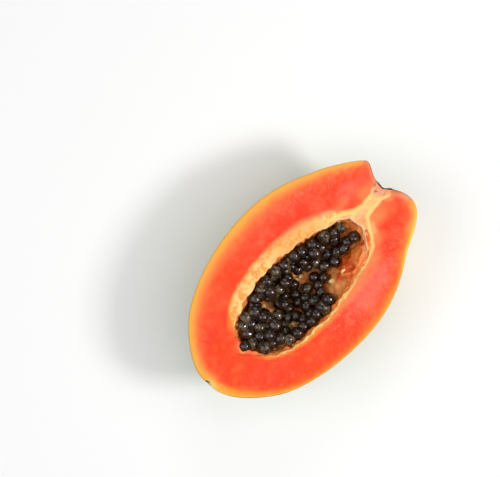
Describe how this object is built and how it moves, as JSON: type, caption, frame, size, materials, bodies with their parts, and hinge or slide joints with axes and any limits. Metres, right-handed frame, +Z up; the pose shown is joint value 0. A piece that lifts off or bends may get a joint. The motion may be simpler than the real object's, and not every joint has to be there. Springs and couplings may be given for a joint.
{
  "type": "papaya half",
  "caption": "Ripe papaya half cut lengthwise, lying on its rounded back with the cut face up, with an open cavity holding dark seeds.",
  "frame": {"origin": "on the surface that the fruit lies on, under the middle of its length and width", "axes": "+X from the blossom end to the stem end along the cut face, +Y across the cut face to the left of +X, +Z up, out of the cut face"},
  "size_m": [0.1588, 0.1006, 0.0492],
  "materials": {
    "flesh": "moist satin flesh inside a thin green and yellow skin",
    "seeds": "glossy wet seed coats"
  },
  "bodies": {
    "root": {"fruit_half": "flesh", "seeds": "seeds"}
  },
  "joints": []
}
